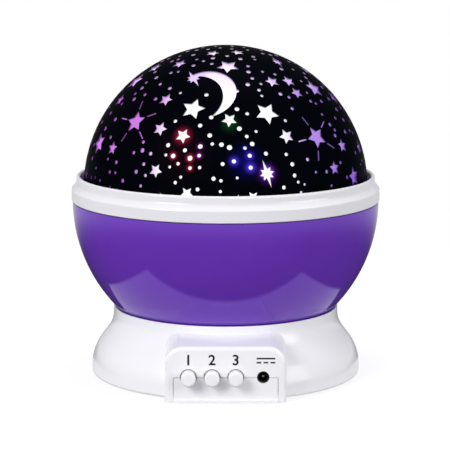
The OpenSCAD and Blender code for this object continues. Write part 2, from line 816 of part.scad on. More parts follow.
module control_chip() {
  body = [5, 1.5, 4];
  leg = [0.4, 0.3, 1];
  leg_pitch = 1.27;
  color("dimgray")
    translate([chip_x, board_back, button_z]) {
      translate([0, 0, -body[2] / 2]) cube(body);
      for (k = [0:3])
        for (s = [-1, 1])
          translate([leg[0] + k * leg_pitch, 0, s * (body[2] + leg[2]) / 2 - leg[2] / 2]) cube(leg);
    }
}

// A can that lies along the board
module capacitor() {
  can_r = 2.5;
  can_l = 7;
  color("midnightblue")
    translate([capacitor_x, board_back + can_r + 0.02, button_z - 1])
      rotate([0, 90, 0]) cylinder(r = can_r, h = can_l);
}

module motor() {
  at = [0, motor_at - shaft_off];
  color("silver")
    difference() {
      union() {
        post(at, motor_top - motor_h, motor_h, motor_r);
        // Ears
        translate([0, at[1], motor_top - ear_t]) linear_extrude(ear_t)
          difference() {
            union() {
              translate([-ear_x, -ear_r]) square([2 * ear_x, 2 * ear_r]);
              for (s = [-1, 1]) translate([s * ear_x, 0]) circle(r = ear_r);
            }
            for (s = [-1, 1]) translate([s * ear_x, 0]) circle(r = small_screw_r + screw_free);
          }
        // Boss round the shaft
        post([0, motor_at], motor_top - past, past + motor_boss_h, shaft_r + 1.5);
      }
      post([0, motor_at], motor_top - shaft_in - screw_free, far, shaft_r + run_fit);
    }
}

module motor_screws() {
  color("silver")
    for (s = [-1, 1]) {
      post([s * ear_x, motor_at - shaft_off], motor_top - ear_t - small_head_h, small_head_h, small_head_r);
      post([s * ear_x, motor_at - shaft_off], motor_top - ear_t - small_head_h,
        ear_t + small_head_h + motor_pilot - seat_fit, small_screw_r);
    }
}

// A round shaft with a flat
module d_section(gap) {
  difference() {
    circle(r = shaft_r + gap);
    translate([shaft_r * 0.6 + gap, -shaft_r * 2]) square(4 * shaft_r);
  }
}

module motor_shaft() {
  foot_z = motor_top - shaft_in;
  flat_z = pinion_z - pinion_hub_h - bury;
  color("silver")
    translate([0, motor_at, 0]) {
      translate([0, 0, foot_z]) cylinder(r = shaft_r, h = flat_z - foot_z);
      translate([0, 0, flat_z]) linear_extrude(pinion_z + gear_t - bury - flat_z) d_section(0);
    }
}

// Involute teeth: one flank's points from the root to the tip
pressure = 20;
function involute(base, t) =
  base * [cos(t) + t * PI / 180 * sin(t), sin(t) - t * PI / 180 * cos(t)];
function roll_to(base, r) = sqrt(max(pow(r / base, 2) - 1, 0)) * 180 / PI;
function turned(p, a) = [p[0] * cos(a) - p[1] * sin(a), p[0] * sin(a) + p[1] * cos(a)];
function flank(n, root, tip) =
  let (
    pitch = gear_m * n / 2,
    base = pitch * cos(pressure),
    start = max(root, base),
    lead = (tan(pressure) - pressure * PI / 180) * 180 / PI,
    half = 90 / n - backlash / 2 / pitch * 180 / PI,
    low = roll_to(base, start),
    high = roll_to(base, tip)
  )
    concat(
      root < base ? [turned([root, 0], -half - lead)] : [],
      [for (k = [0:3]) turned(involute(base, low + (high - low) * k / 3), -half - lead)]
    );
module teeth(n) {
  root = gear_m * (n / 2 - 1.25);
  tip = gear_m * (n / 2 + 0.9);
  side = flank(n, root, tip);
  polygon([for (i = [0:n - 1]) each concat(
    [for (p = side) turned(p, i * 360 / n)],
    [for (k = [len(side) - 1:-1:0]) turned([side[k][0], -side[k][1]], i * 360 / n)]
  )]);
}

module pinion() {
  color("ivory")
    translate([0, motor_at, 0]) {
      translate([0, 0, pinion_z]) linear_extrude(gear_t)
        difference() {
          rotate(270 - 180 / pinion_n) teeth(pinion_n);
          d_section(pinion_fit);
        }
      translate([0, 0, pinion_z - pinion_hub_h]) linear_extrude(pinion_hub_h)
        difference() {
          circle(r = pinion_r - 1.8 * gear_m);
          d_section(pinion_fit);
        }
    }
}

module lamp_post() {
  top = light_z - holder_t;
  color("white")
    difference() {
      union() {
        post([0, 0], deck_top, flange_t, flange_r);
        post([0, 0], deck_top, clip_z + 4 * clip_t - deck_top, post_r);
        post([0, 0], deck_top, top - deck_top, sleeve_r);
      }
      post([0, 0], deck_top - past, top - deck_top + 2 * past, wire_bore_r);
      // Groove for the retaining clip
      translate([0, 0, clip_z])
        difference() {
          cylinder(r = post_r + past, h = clip_t + 2 * seat_fit);
          translate([0, 0, -past]) cylinder(r = post_r - groove_d, h = clip_t + 3 * past);
        }
      for (a = post_screw_angles)
        rotate(a) post([post_screw_r, 0], deck_top - past, flange_t + 2 * past, small_screw_r + screw_free);
    }
}

module post_screws() {
  color("silver")
    for (a = post_screw_angles)
      rotate(a) {
        post([post_screw_r, 0], flange_top, small_head_h, small_head_r);
        post([post_screw_r, 0], deck_z - post_boss_h,
          flange_top - deck_z + post_boss_h + bury, small_screw_r);
      }
}

module thrust_washer() {
  color("gainsboro")
    translate([0, 0, flange_top]) linear_extrude(washer_t)
      difference() {
        circle(r = hub_r - loose_fit);
        circle(r = post_r + run_fit);
      }
}

// An open clip in the post's groove, which keeps the ball on the post
module retaining_clip() {
  color("silver")
    translate([0, 0, clip_z + seat_fit]) linear_extrude(clip_t)
      difference() {
        circle(r = hub_r - 2 * loose_fit);
        circle(r = post_r - groove_d + seat_fit);
        translate([0, -clip_mouth / 2]) square([far, clip_mouth]);
      }
}

module light_holder() {
  color("white")
    translate([0, 0, light_z])
      difference() {
        union() {
          translate([0, 0, -holder_t]) cylinder(r = board_r + 0.4, h = holder_t);
          translate([0, 0, -holder_h]) cylinder(r = socket_r, h = holder_h - holder_t + bury);
          translate([0, 0, -holder_t - cone_h]) cylinder(r1 = socket_r, r2 = board_r, h = cone_h);
        }
        translate([0, 0, -holder_h - past])
          cylinder(r = sleeve_r + seat_fit, h = holder_h + past - holder_t);
        translate([0, 0, -holder_h]) cylinder(r = wire_bore_r, h = far);
        for (a = [0, 180])
          rotate(a) post([holder_screw_r, 0], -holder_t - cone_h - past, far, small_screw_r + seat_fit);
      }
}

module light_board() {
  color("white")
    translate([0, 0, light_z]) linear_extrude(board_t)
      difference() {
        circle(r = board_r);
        for (a = [0, 180])
          rotate(a) translate([holder_screw_r, 0]) circle(r = small_screw_r + screw_free);
      }
}

module holder_screws() {
  color("silver")
    for (a = [0, 180])
      rotate(a) translate([0, 0, light_z]) {
        post([holder_screw_r, 0], board_t, small_head_h, small_head_r);
        post([holder_screw_r, 0], -holder_t, board_t + holder_t + bury, small_screw_r);
      }
}

// A light with a round head, on the board
module light(i, tint) {
  r = led_d / 2;
  shank = 5.4;
  color(tint)
    rotate(45 + 90 * i)
      translate([led_ring, 0, light_z + board_t])
        rotate_extrude() {
          square([r + 0.4, 1]);
          square([r, shank]);
          translate([0, shank])
            intersection() {
              circle(r = r);
              square(r);
            }
        }
}

module drive_gear() {
  foot_z = bowl_floor_z - gear_t;
  color("ivory")
    difference() {
      translate([0, 0, foot_z]) linear_extrude(gear_t)
        difference() {
          rotate(90) teeth(gear_n);
          circle(r = gear_in_r);
        }
      for (a = gear_screw_angles)
        rotate(a) {
          post([gear_screw_r, 0], foot_z - past, gear_t + 2 * past, small_screw_r + screw_free);
          post([gear_screw_r, 0], foot_z - past,
            gear_head_z + small_head_h + past, small_head_r + screw_free);
        }
    }
}

module gear_screws() {
  head_z = bowl_floor_z - gear_t + gear_head_z;
  tip_z = bowl_floor_z + gear_pilot - bury;
  color("silver")
    for (a = gear_screw_angles)
      rotate(a) {
        post([gear_screw_r, 0], head_z, small_head_h, small_head_r);
        post([gear_screw_r, 0], head_z, tip_z - head_z, small_screw_r);
      }
}

module bowl() {
  color("rebeccapurple")
    difference() {
      union() {
        difference() {
          translate([0, 0, ball_z]) sphere(r = ball_r, $fn = 180);
          translate([0, 0, ball_z]) sphere(r = ball_r - bowl_wall, $fn = 180);
          translate([0, 0, ball_z]) cylinder(r = far, h = far);
          translate([0, 0, bowl_floor_z - far]) cylinder(r = far, h = far);
        }
        // Flat floor
        intersection() {
          translate([0, 0, ball_z]) sphere(r = ball_r - bowl_wall / 2, $fn = 180);
          translate([0, 0, bowl_floor_z]) cylinder(r = far, h = bowl_wall);
        }
        // Rim that stands up inside the ring, and carries the dome
        translate([0, 0, ball_z - rim_root]) linear_extrude(rim_top - ball_z + rim_root)
          difference() {
            circle(r = rim_r);
            circle(r = rim_in_r);
          }
        post([0, 0], hub_z, hub_h, hub_r);
        for (a = gear_screw_angles)
          rotate(a) post([gear_screw_r, 0], bowl_floor_z, gear_boss_h, gear_boss_r);
        // Ribs from the hub
        for (a = [0:60:300])
          rotate(a) translate([hub_r - past, -rib_t / 2, bowl_floor_z]) cube([rib_l, rib_t, rib_h]);
      }
      post([0, 0], hub_z - past, hub_h + 2 * past, post_r + run_fit);
      // Shelf for the reflector
      post([0, 0], shelf_z, far, reflector_r + seat_fit);
      for (a = gear_screw_angles)
        rotate(a) post([gear_screw_r, 0], bowl_floor_z - past, gear_pilot + past, small_screw_r + seat_fit);
    }
}

module reflector() {
  color("white")
    translate([0, 0, shelf_z]) linear_extrude(reflector_t)
      difference() {
        circle(r = reflector_r);
        circle(r = board_r + reflector_gap);
      }
}

module clear_dome() {
  color("lavender")
    union() {
      difference() {
        translate([0, 0, dome_z]) sphere(r = clear_r, $fn = 180);
        translate([0, 0, dome_z]) sphere(r = clear_r - dome_wall, $fn = 180);
        translate([0, 0, dome_z - far]) cylinder(r = far, h = far);
      }
      translate([0, 0, rim_top]) linear_extrude(dome_z - rim_top)
        difference() {
          circle(r = clear_r);
          circle(r = clear_r - dome_wall);
        }
      // Foot that the ring clamps on the bowl's rim
      translate([0, 0, rim_top]) linear_extrude(dome_foot_h)
        difference() {
          circle(r = rim_r - screw_free);
          circle(r = clear_r - dome_wall / 2);
        }
    }
}

// An outline whose points and notches lie in turn at the radii in reach
module pointed(reach, steps) {
  polygon([for (k = [0:steps - 1])
    let (q = reach[k % len(reach)], a = 90 + k * 360 / steps) [q * cos(a), q * sin(a)]]);
}

// Five points
module star(r) {
  pointed([r, r * star_notch], 10);
}

// Two long points and six short ones
module burst(r) {
  notch = r * burst_notch;
  short = r * burst_short;
  pointed([r, notch, short, notch, short, notch, short, notch], 16);
}

// Puts a flat shape, drawn in degrees, on the dome, upright, and makes a cutter of it
module on_dome(azimuth, height) {
  translate([0, 0, dome_z])
    rotate([0, 0, azimuth])
      rotate([-height, 0, 0])
        translate([0, -dome_r + cut_depth, 0])
          rotate([90, 0, 0])
            linear_extrude(2 * cut_depth) scale(dome_r * PI / 180) children();
}

function facing(azimuth, height) =
  [sin(azimuth) * cos(height), -cos(azimuth) * cos(height), sin(height)];
function apart(a, b) = acos(min(1, a * b));

// Everything that is bigger than a dot, as place and radius to keep clear
clear_front = concat(
  [for (s = stars) [facing(s[0], s[1]), s[2] / 2]],
  [for (s = ray_stars) [facing(s[0], s[1]), s[2]]],
  [for (s = bursts) [facing(s[0], s[1]), s[2] / 2]],
  [[facing(crescent[0], crescent[1]), crescent[2]]],
  [[facing(crescent_burst[0], crescent_burst[1]), crescent_burst[2] / 2]],
  [for (s = placed_dots) [facing(s[0], s[1]), placed_room]]
);
clear_back = [for (c = clear_front) [[-c[0][0], -c[0][1], c[0][2]], c[1]]];

function dot_at(k) =
  let (
    rise = (k + 0.5) / dot_n,
    jog_a = 3 * sin(k * 77),
    jog_h = 1.1 * sin(k * 131)
  )
    [k * 137.5 + jog_a, asin(0.06 + 0.94 * rise) + jog_h];
places = [for (k = [0:dot_n - 1]) facing(dot_at(k)[0], dot_at(k)[1])];
function clear_of_stars(p) =
  min([for (c = concat(clear_front, clear_back)) apart(p, c[0]) - c[1]]) > dot_gap;
function clear_of_dots(k) = min([90, for (j = [0:1:k - 1]) apart(places[k], places[j])]) > dot_pitch;
// Low dots are smaller than those further up
dots = [for (k = [0:dot_n - 1]) if (clear_of_stars(places[k]) && clear_of_dots(k))
  let (at = dot_at(k), share = foot_share + (1 - foot_share) * at[1] / full_from)
    [at[0], at[1], dot_d[k % len(dot_d)] * min(1, share)]];

// The windows of one half of the dome
module windows() {
  for (s = concat(stars, ray_stars))
    on_dome(s[0], s[1]) rotate(s[3]) star(s[2] / 2);
  for (s = ray_stars)
    for (k = [0:4])
      on_dome(s[0], s[1])
        rotate(s[3] + k * 72) translate([-ray_w / 2, s[2] * ray_from]) square([ray_w, ray_l]);
  for (s = bursts)
    on_dome(s[0], s[1]) rotate(s[3]) burst(s[2] / 2);
}

module star_mask() {
  color("black")
    difference() {
      translate([0, 0, dome_z]) sphere(r = dome_r, $fn = 180);
      translate([0, 0, dome_z]) sphere(r = dome_r - mask_t, $fn = 180);
      translate([0, 0, dome_z - far + mask_lift]) cylinder(r = far, h = far);
      windows();
      rotate(180) windows();
      on_dome(crescent[0], crescent[1]) rotate(crescent[3])
        difference() {
          circle(r = crescent[2]);
          translate([-crescent[2] * crescent_shift, 0]) circle(r = crescent[2]);
        }
      on_dome(crescent_burst[0], crescent_burst[1])
        rotate(crescent_burst[3]) burst(crescent_burst[2] / 2);
      for (d = concat(dots, placed_dots)) on_dome(d[0], d[1]) circle(d = d[2]);
    }
}

module ring() {
  high = ring_z + ring_h;
  bead_r = collar_t / 2;
  bead_x = collar_r - bead_r;
  // The shoulder falls from the collar's wall to the band, with a hollow at its head
  slope = [collar_in, -shoulder_h];
  fall = slope / norm(slope);
  corner = [collar_r, band_top + shoulder_h];
  tangent = collar_fillet / tan((90 + atan2(shoulder_h, collar_in)) / 2);
  on_slope = corner + tangent * fall;
  on_wall = corner + [0, tangent];
  middle = on_wall + [collar_fillet, 0];
  color("white")
    rotate_extrude() {
      difference() {
        polygon([
          [collar_r, ring_z], [ring_r - ring_round, ring_z], [ring_r, ring_z + ring_round],
          [ring_r, band_top - ring_round / 2], [ring_r, band_top] - ring_round / 2 * fall,
          on_slope, middle, on_wall,
          [collar_r, high - bead_r], [collar_r - collar_t, high - bead_r],
          [collar_r - collar_t - 0.5, ledge_z], [collar_r, ledge_z]
        ]);
        translate(middle) circle(r = collar_fillet);
      }
      intersection() {
        translate([ring_r - ring_round, ring_z + ring_round]) circle(r = ring_round);
        translate([ring_r - ring_round, ring_z]) square(ring_round);
      }
      intersection() {
        translate([bead_x, high - bead_r]) circle(r = bead_r);
        translate([bead_x - bead_r, high - bead_r]) square(collar_t);
      }
    }
}

// Routes of the wires that the base holds
light_route = [
  [0, 0, light_z], [0, 0, light_z - 6], [0, 0, 40], [0, 0, 24], [0, 0, 19.5], [0, -0.4, 17.8],
  [0, -1.4, 16.6], [0, -3, 16], [0, -5, 15.85], [0, -20, 15.85], [0, -37, 15.85], [0, -39.5, 15.6],
  [0, -41.3, 14.9], [0, -42.7, 14.1], [0, -43.2, 14], [0, board_back, 14]
];
motor_route = [
  [5, 16.8, 12.5], [5, 15, 12.6], [5, 13.4, 13.2], [5, 12, 14.4], [5, 10.6, 15.4], [5, 9, 15.8],
  [5, 6, 15.85], [5, -16, 15.85], [5, -37, 15.85], [5, -39.5, 15.6], [5, -41.3, 14.9],
  [5, -42.7, 14.1], [5, -43.2, 14], [5, board_back, 14]
];
battery_route = [
  [-bay_x - bay_wall, -31.7, 12], [-27.6, -31.8, 12], [-28.6, -32.4, 12], [-29, -33.6, 12.1],
  [-28.9, -36, 12.4], [-28, -38.4, 12.8], [-26.2, -40.3, 13.2], [-23.5, -41, 13.5], [-20.5, -41.2, 13.7],
  [-18.4, -41.8, 13.9], [-17.4, -42.5, 14], [-17.2, -43.2, 14], [-17.2, board_back, 14]
];
wire_r = 0.5;

module light_wire() {
  color("dimgray") tube(light_route, wire_r, 8, [1, 0, 0]);
}

module motor_wire() {
  color("red") tube(motor_route, wire_r, 8, [1, 0, 0]);
}

module battery_wire() {
  color("red") tube(battery_route, wire_r, 8, [0, 0, 1]);
}

base_shell();
lower_cover();
battery_door();
door_screw();
cover_screws();
for (i = [1:4]) foot(i);
for (i = [1:4]) cell(i);
contact_plates();
contact_springs();
circuit_board();
for (i = [1:3]) switch(i);
for (i = [1:3]) switch_stem(i);
for (i = [1:3]) button(i);
power_socket();
socket_pin();
control_chip();
capacitor();
motor();
motor_screws();
motor_shaft();
pinion();
lamp_post();
post_screws();
thrust_washer();
retaining_clip();
light_holder();
light_board();
holder_screws();
light(0, "red");  // light_red
light(1, "limegreen");  // light_green
light(2, "blue");  // light_blue
light(3, "ivory");  // light_white
drive_gear();
gear_screws();
bowl();
reflector();
clear_dome();
star_mask();
ring();
light_wire();
motor_wire();
battery_wire();
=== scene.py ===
# Rotating star lamp: a violet ball with a pierced, lit dome on a glossy white base.
# Metres, +Z up, front towards -Y. Sizes in the dictionaries are in millimetres.
import bpy
import math
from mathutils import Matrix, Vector


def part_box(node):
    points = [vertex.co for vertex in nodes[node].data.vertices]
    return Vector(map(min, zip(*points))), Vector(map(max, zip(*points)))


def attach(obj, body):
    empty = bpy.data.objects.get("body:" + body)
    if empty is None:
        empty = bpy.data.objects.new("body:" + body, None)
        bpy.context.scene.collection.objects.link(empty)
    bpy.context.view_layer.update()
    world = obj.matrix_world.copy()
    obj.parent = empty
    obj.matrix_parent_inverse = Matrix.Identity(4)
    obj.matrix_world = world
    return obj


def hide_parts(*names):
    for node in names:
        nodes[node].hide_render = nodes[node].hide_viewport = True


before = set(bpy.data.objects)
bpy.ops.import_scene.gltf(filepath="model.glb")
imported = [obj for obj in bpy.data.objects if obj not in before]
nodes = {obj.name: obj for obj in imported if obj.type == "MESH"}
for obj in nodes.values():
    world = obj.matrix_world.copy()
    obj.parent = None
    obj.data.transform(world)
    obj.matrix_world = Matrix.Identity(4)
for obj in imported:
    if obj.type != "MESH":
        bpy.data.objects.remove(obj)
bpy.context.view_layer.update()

mm = 0.001
print("frame loaded:", len(nodes), "nodes")


def deselectAll():
    bpy.ops.object.select_all(action="DESELECT")


def takeUp(piece):
    # makes this piece the only one selected, and the active one
    deselectAll()
    piece.select_set(True)
    bpy.context.view_layer.objects.active = piece


def hexColour(code):
    # sRGB hex to the linear values that Blender's sockets take
    parts = [int(code[i:i + 2], 16) / 255 for i in (1, 3, 5)]
    return tuple(c / 12.92 if c <= 0.04045 else ((c + 0.055) / 1.055) ** 2.4 for c in parts) + (1.0,)


def newMaterial(name):
    material = bpy.data.materials.new(name)
    material.use_nodes = True
    material.node_tree.nodes.clear()
    return material


def addNode(material, kind, settings=None, inputs=None):
    # adds one node, sets its properties, and fills or links its sockets
    tree = material.node_tree
    node = tree.nodes.new(kind)
    for key, value in (settings or {}).items():
        setattr(node, key, value)
    for key, value in (inputs or {}).items():
        if isinstance(value, bpy.types.NodeSocket):
            tree.links.new(value, node.inputs[key])
        else:
            node.inputs[key].default_value = value
    return node


def setRamp(node, stops):
    # stops are (position, colour)
    ramp = node.color_ramp
    while len(ramp.elements) > 1:
        ramp.elements.remove(ramp.elements[-1])
    ramp.elements[0].position, ramp.elements[0].color = stops[0]
    for place, colour in stops[1:]:
        ramp.elements.new(place).color = colour


def dress(names, material):
    # gives CAD nodes a material
    for name in names:
        for slot in nodes[name].material_slots:
            slot.material = material


# Camera: where the photograph was taken from, how many degrees it looks down, and how far it sees
view = {"place": (-0.25, -858.2, 206.3), "pitch": 9.65, "lens": 170.8, "sensor": 36, "reach": 50000}
bpy.ops.object.camera_add(
    location=[v * mm for v in view["place"]],
    rotation=(math.radians(90 - view["pitch"]), 0, 0))
camera = bpy.context.object
camera.data.lens = view["lens"]
camera.data.sensor_width = view["sensor"]
camera.data.clip_end = view["reach"] * mm
bpy.context.scene.camera = camera
bpy.context.scene.view_settings.view_transform = "Standard"
print("camera set")

# Studio: a white floor, a painted reflection of a pale card that only glossy faces see in it, and soft lamps
studio = {
    "floor": 4000, "floorColour": "#A0A0A4", "white": "#FFFFFF",
    "lift": 0.7,  # what is added to the shaded paper near the lamp, so that it reads as white
    "gap": 6,  # a ray that meets the floor within this passes it, or the underside would be black
    # the painted reflection of a pale card, seen only in glossy faces: its lowest and highest corner, half
    # the width of its soft edge, and its strength
    "paintedCard": ((-90, -66), (84, 26)), "paintedCardEdge": 3, "paintedCardLight": 0.76,
    # the floor in glossy faces: painted shade round the lamp's foot, pale further out
    "paintedShadeNear": 0.03, "farLight": 0.65, "nearFrom": 170, "farFrom": 420,
    "sky": 0.5, "mirroredSky": 0.38,
    "aim": (0, 0, 60),
    # name, power in watts, place and size
    "lamps": (
        ("key lamp", 4.1, (-540, -560, 470), 360),
        ("fill lamp", 1.9, (620, -380, 260), 420),
        ("front lamp", 0.5, (-60, -1000, 140), 500),
        ("top lamp", 2.2, (60, 120, 760), 420),
    ),
}


def floorMaterial():
    # Paper, uncoated: matte, white to the camera with the lamp's shadow on it; in glossy faces it shows
    # painted shade round the lamp's foot and a painted reflection of a pale card
    m = newMaterial("matte paper sweep")
    place = addNode(m, "ShaderNodeTexCoord")
    spot = addNode(m, "ShaderNodeSeparateXYZ", {}, {"Vector": place.outputs["Object"]})
    # inside is 1 over the painted card and falls to 0 across its four edges
    (lowX, lowY), (highX, highY) = studio["paintedCard"]
    edge = studio["paintedCardEdge"]
    inside = 1.0
    for axis, at, inward in (("X", lowX, 1), ("X", highX, -1), ("Y", lowY, 1), ("Y", highY, -1)):
        step = addNode(m, "ShaderNodeMapRange", {"interpolation_type": "SMOOTHSTEP"}, {
            "Value": spot.outputs[axis],
            "From Min": (at - inward * edge) * mm, "From Max": (at + inward * edge) * mm})
        inside = addNode(m, "ShaderNodeMath", {"operation": "MULTIPLY"}, {
            0: inside, 1: step.outputs["Result"]}).outputs["Value"]
    # painted shade: in glossy faces the floor is darker near the lamp's foot and paler further out
    reach = addNode(m, "ShaderNodeVectorMath", {"operation": "LENGTH"}, {0: place.outputs["Object"]})
    around = addNode(m, "ShaderNodeMapRange", {"interpolation_type": "SMOOTHSTEP"}, {
        "Value": reach.outputs["Value"],
        "From Min": studio["nearFrom"] * mm, "From Max": studio["farFrom"] * mm,
        "To Min": studio["paintedShadeNear"], "To Max": studio["farLight"]})
    mirrored = addNode(m, "ShaderNodeMix", {"data_type": "FLOAT"}, {
        "Factor": inside, "A": around.outputs["Result"], "B": studio["paintedCardLight"]})
    paper = addNode(m, "ShaderNodeBsdfDiffuse", {}, {"Color": hexColour(studio["floorColour"])})
    glow = addNode(m, "ShaderNodeEmission", {}, {
        "Color": hexColour(studio["white"]), "Strength": mirrored.outputs["Result"]})
    lift = addNode(m, "ShaderNodeEmission", {}, {
        "Color": hexColour(studio["white"]), "Strength": studio["lift"]})
    near = addNode(m, "ShaderNodeAddShader", {}, {0: paper.outputs["BSDF"], 1: lift.outputs["Emission"]})
    white = addNode(m, "ShaderNodeEmission", {}, {"Color": hexColour(studio["white"]), "Strength": 1.0})
    away = addNode(m, "ShaderNodeMapRange", {"interpolation_type": "SMOOTHSTEP"}, {
        "Value": reach.outputs["Value"],
        "From Min": studio["nearFrom"] * mm, "From Max": studio["farFrom"] * mm})
    seen = addNode(m, "ShaderNodeMixShader", {}, {
        "Fac": away.outputs["Result"], 1: near.outputs["Shader"], 2: white.outputs["Emission"]})
    path = addNode(m, "ShaderNodeLightPath")
    straight = addNode(m, "ShaderNodeMath", {"operation": "MAXIMUM"}, {
        0: path.outputs["Is Camera Ray"], 1: path.outputs["Is Transmission Ray"]})
    direct = addNode(m, "ShaderNodeMixShader", {}, {
        "Fac": straight.outputs["Value"], 1: paper.outputs["BSDF"], 2: seen.outputs["Shader"]})
    above = addNode(m, "ShaderNodeMixShader", {}, {
        "Fac": path.outputs["Is Glossy Ray"], 1: direct.outputs["Shader"], 2: glow.outputs["Emission"]})
    # From below the paper is clear, so that the lamp's underside can be seen and is lit
    face = addNode(m, "ShaderNodeNewGeometry")
    short = addNode(m, "ShaderNodeMath", {"operation": "LESS_THAN"}, {
        0: path.outputs["Ray Length"], 1: studio["gap"] * mm})
    clear = addNode(m, "ShaderNodeMath", {"operation": "MAXIMUM"}, {
        0: face.outputs["Backfacing"], 1: short.outputs["Value"]})
    glass = addNode(m, "ShaderNodeBsdfTransparent")
    whole = addNode(m, "ShaderNodeMixShader", {}, {
        "Fac": clear.outputs["Value"], 1: above.outputs["Shader"], 2: glass.outputs["BSDF"]})
    addNode(m, "ShaderNodeOutputMaterial", {}, {"Surface": whole.outputs["Shader"]})
    return m


def makeStudio():
    deselectAll()
    bpy.ops.mesh.primitive_plane_add(size=studio["floor"] * mm, location=(0, 0, 0))
    floor = bpy.context.object
    floor.name = "floor"
    floor.data.materials.append(floorMaterial())

    world = bpy.data.worlds.new("studio")
    bpy.context.scene.world = world
    world.use_nodes = True
    world.node_tree.nodes.clear()
    path = addNode(world, "ShaderNodeLightPath")
    straight = addNode(world, "ShaderNodeMath", {"operation": "MAXIMUM"}, {
        0: path.outputs["Is Camera Ray"], 1: path.outputs["Is Transmission Ray"]})
    mirrored = addNode(world, "ShaderNodeMix", {"data_type": "FLOAT"}, {
        "Factor": path.outputs["Is Glossy Ray"], "A": studio["sky"], "B": studio["mirroredSky"]})
    level = addNode(world, "ShaderNodeMix", {"data_type": "FLOAT"}, {
        "Factor": straight.outputs["Value"], "A": mirrored.outputs["Result"], "B": 1.0})
    sky = addNode(world, "ShaderNodeBackground", {}, {
        "Color": hexColour(studio["white"]), "Strength": level.outputs["Result"]})
    addNode(world, "ShaderNodeOutputWorld", {}, {"Surface": sky.outputs["Background"]})

    for name, power, at, size in studio["lamps"]:
        deselectAll()
        bpy.ops.object.light_add(type="AREA", location=[v * mm for v in at])
        lamp = bpy.context.object
        lamp.name = name
        lamp.data.energy = power
        lamp.data.size = size * mm
        lamp.visible_camera = False
        aim = Vector([v * mm for v in studio["aim"]]) - lamp.location
        lamp.rotation_euler = aim.to_track_quat("-Z", "Y").to_euler()


makeStudio()
print("studio lit")


# Moulded skins: the usual length of their waves in mm, how much these show, and how far the gloss wavers
moulded = {"wave": 9, "relief": 0.25, "waver": 0.04}


def mouldedPlastic(name, colour, rough, bump, wave=moulded["wave"], extra=None):
    # Injection-moulded plastic: an even colour, and a gloss that wavers a little where the melt flowed;
    # bump and wave are the height and the length of its skin's waves in mm
    m = newMaterial(name)
    place = addNode(m, "ShaderNodeTexCoord")
    flow = addNode(m, "ShaderNodeTexNoise", {}, {
        "Vector": place.outputs["Object"], "Scale": 1 / (wave * mm), "Detail": 3.0, "Roughness": 0.5})
    sheen = addNode(m, "ShaderNodeMapRange", {}, {
        "Value": flow.outputs["Fac"], "From Min": 0.3, "From Max": 0.7,
        "To Min": rough - moulded["waver"], "To Max": rough + moulded["waver"]})
    skin = addNode(m, "ShaderNodeBump", {}, {
        "Strength": moulded["relief"], "Distance": bump * mm, "Height": flow.outputs["Fac"]})
    body = addNode(m, "ShaderNodeBsdfPrincipled", {}, {
        "Base Color": hexColour(colour), "Roughness": sheen.outputs["Result"],
        "Normal": skin.outputs["Normal"], "IOR": 1.5, **(extra or {})})
    addNode(m, "ShaderNodeOutputMaterial", {}, {"Surface": body.outputs["BSDF"]})
    return m


def makeWhites():
    # Polished ABS of the base, ring and buttons, and satin ABS of the parts inside
    gloss = mouldedPlastic("white ABS, polished mould", "#F9F9FC", 0.2, 0.02, extra={
        "Coat Weight": 0.08, "Coat Roughness": 0.08})
    dress(["base_shell", "lower_cover", "battery_door", "button_1", "button_2", "button_3"], gloss)
    # The ring's white is painted a shade greyer than the base's. This is painted shade: the real ring is the
    # same white ABS
    shadedRingWhite = mouldedPlastic("white ABS of the ring, painted a shade darker", "#E4E3E8", 0.2, 0.02)
    dress(["ring"], shadedRingWhite)
    satin = mouldedPlastic("white ABS, satin mould", "#ECEBEA", 0.42, 0.03)
    dress(["lamp_post", "light_holder", "reflector", "thrust_washer"], satin)


# Bowl: its two shades, the size of the clouds that they make, and the size and height of the flakes
bowl = {"shades": ("#6D38BC", "#713CC2"), "cloud": 14, "flake": 0.8, "flakeHeight": 0.01}


def makeViolet():
    # Pearl-pigmented ABS of the bowl: flakes, drawn coarser than real ones, give its mirror image a
    # violet tint under a clear gloss, and the pigment clouds a little
    m = newMaterial("pearl violet ABS")
    place = addNode(m, "ShaderNodeTexCoord")
    flow = addNode(m, "ShaderNodeTexNoise", {}, {
        "Vector": place.outputs["Object"], "Scale": 1 / (bowl["cloud"] * mm), "Detail": 2.0})
    tint = addNode(m, "ShaderNodeMix", {"data_type": "RGBA"}, {
        "Factor": flow.outputs["Fac"], "A": hexColour(bowl["shades"][0]), "B": hexColour(bowl["shades"][1])})
    flake = addNode(m, "ShaderNodeTexNoise", {}, {
        "Vector": place.outputs["Object"], "Scale": 1 / (bowl["flake"] * mm), "Detail": 1.0})
    skin = addNode(m, "ShaderNodeBump", {}, {
        "Strength": 0.1, "Distance": bowl["flakeHeight"] * mm, "Height": flake.outputs["Fac"]})
    body = addNode(m, "ShaderNodeBsdfPrincipled", {}, {
        "Base Color": tint.outputs["Result"], "Metallic": 0.18, "Roughness": 0.06, "IOR": 1.5,
        "Normal": skin.outputs["Normal"], "Coat Weight": 0.05, "Coat Roughness": 0.03})
    addNode(m, "ShaderNodeOutputMaterial", {}, {"Surface": body.outputs["BSDF"]})
    dress(["bowl"], m)


makeWhites()
makeViolet()
print("white and violet plastics done")
